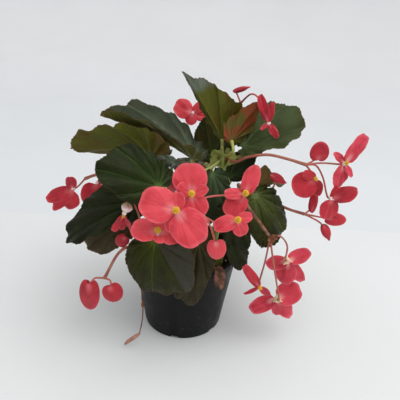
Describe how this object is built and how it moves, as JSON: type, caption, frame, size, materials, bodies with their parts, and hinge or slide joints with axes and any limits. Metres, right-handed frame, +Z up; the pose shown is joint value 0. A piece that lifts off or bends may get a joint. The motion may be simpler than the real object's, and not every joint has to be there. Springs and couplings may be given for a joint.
{
  "type": "potted begonia",
  "caption": "Large-flowered begonia in a black nursery pot: broad toothed leaves on upright canes, and coral-red blooms and buds on branching stalks. It stands on its flat base.",
  "frame": {"origin": "centre of the pot's underside, on the surface that the pot stands on", "axes": "+Z up, +X to the right when the plant is seen from its front, -Y towards the front"},
  "size_m": [0.3124, 0.2722, 0.2852],
  "materials": {
    "pot": "soft sheen",
    "soil": "crumbly, matt",
    "cane": "smooth, fleshy",
    "leaf_green": "satin",
    "leaf_olive": "satin",
    "petal_coral": "soft, slightly glistening",
    "petal_red": "soft, slightly glistening",
    "stamen": "powdery",
    "stalk": "smooth, fleshy",
    "dry": "dry, papery"
  },
  "bodies": {
    "root": {"pot": "pot", "soil": "soil", "cane_main": "cane", "cane_left": "cane", "cane_front": "cane", "cane_right": "cane", "cane_back": "cane", "leaf_upper_left": "leaf_green", "leaf_far_left": "leaf_olive", "leaf_front_left": "leaf_green", "leaf_low_left": "leaf_green", "leaf_small_left": "leaf_green", "leaf_front": "leaf_green", "leaf_front_low": "leaf_green", "leaf_rim_right": "leaf_green", "leaf_mid_right": "leaf_green", "leaf_glossy": "leaf_green", "leaf_young": "leaf_olive", "leaf_upper_right": "leaf_green", "leaf_erect": "leaf_olive", "leaf_russet": "leaf_olive", "leaf_behind": "leaf_olive", "leaf_centre": "leaf_green", "leaf_centre_right": "leaf_green", "leaf_side_right": "leaf_green", "leaf_back_left": "leaf_green", "leaf_back_mid": "leaf_green", "leaf_back_right": "leaf_green", "leaf_back_low": "leaf_green", "bloom_front_left": "petal_coral", "bloom_front_top": "petal_coral", "bloom_front_low": "petal_coral", "bloom_mid_top": "petal_coral", "bloom_mid_low": "petal_coral", "bloom_left_drop": "petal_red", "bloom_far_left": "petal_red", "bloom_left_back": "petal_red", "bloom_top_left": "petal_coral", "bloom_top_right": "petal_red", "bloom_right_long": "petal_coral", "bloom_right_round": "petal_red", "bloom_right_low": "petal_red", "bloom_drop_back": "petal_coral", "bloom_drop_side": "petal_red", "bloom_drop_low": "petal_coral", "stamens_front_left": "stamen", "stamens_front_top": "stamen", "stamens_front_low": "stamen", "stamens_mid_top": "stamen", "stamens_mid_low": "stamen", "spray_front": "stalk", "spray_left": "stalk", "spray_far_left": "stalk", "spray_top": "stalk", "spray_right_high": "stalk", "spray_right_low": "stalk", "spray_drop": "stalk", "spray_behind": "stalk", "dry_stalk": "dry", "dry_bract": "dry"}
  },
  "joints": []
}
